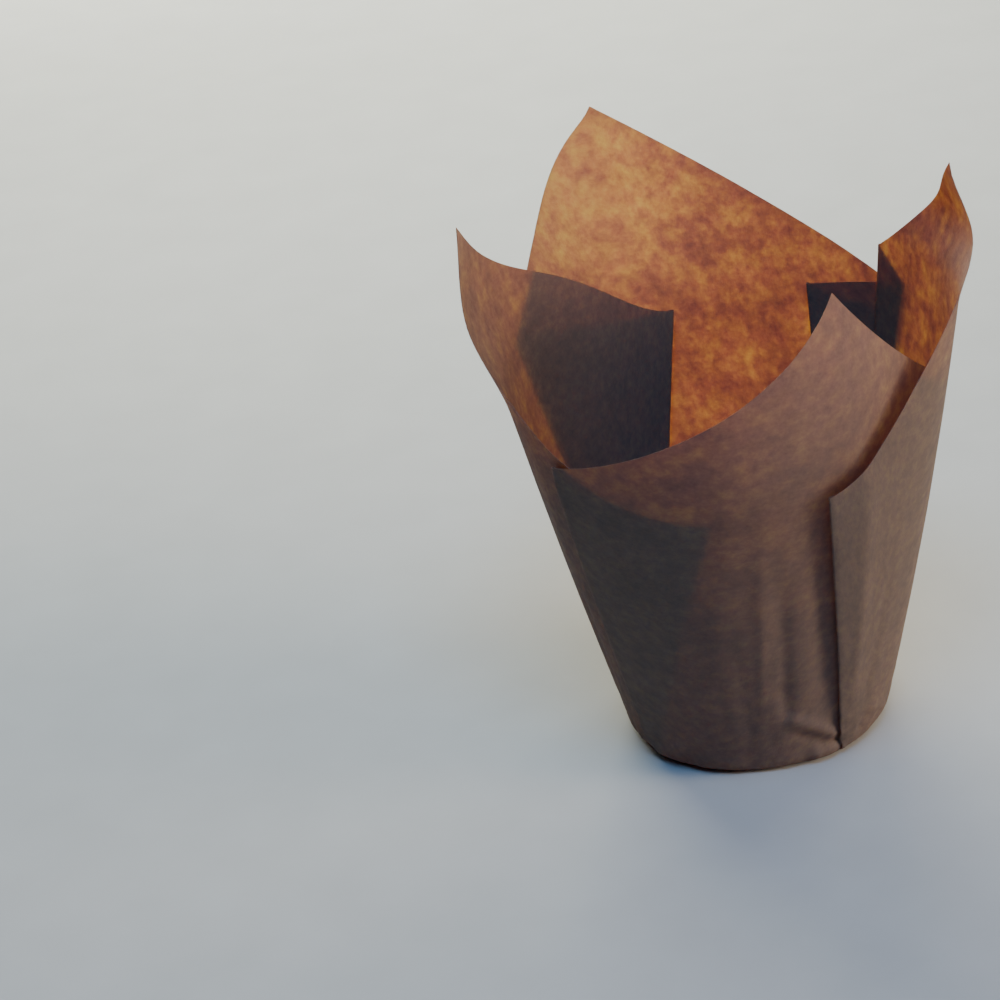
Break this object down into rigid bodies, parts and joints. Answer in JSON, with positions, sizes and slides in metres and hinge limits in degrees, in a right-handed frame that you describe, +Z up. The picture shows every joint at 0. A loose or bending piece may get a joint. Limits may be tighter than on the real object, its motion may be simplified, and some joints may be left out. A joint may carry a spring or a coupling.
{
  "type": "tulip baking liner",
  "caption": "Brown greaseproof paper cup liner: a square sheet pressed round a flat base, with pleated walls and tall pointed corners.",
  "frame": {"origin": "centre of the flat base, on its underside", "axes": "+Z up out of the cup; -Y towards the front tip, which is a little to its right; +X to the right"},
  "size_m": [0.0901, 0.0879, 0.1043],
  "materials": {
    "greaseproof_paper": "unbleached brown greaseproof paper, uncoated, thin enough to glow against light"
  },
  "bodies": {
    "root": {"folded_sheet": "greaseproof_paper"}
  },
  "joints": []
}
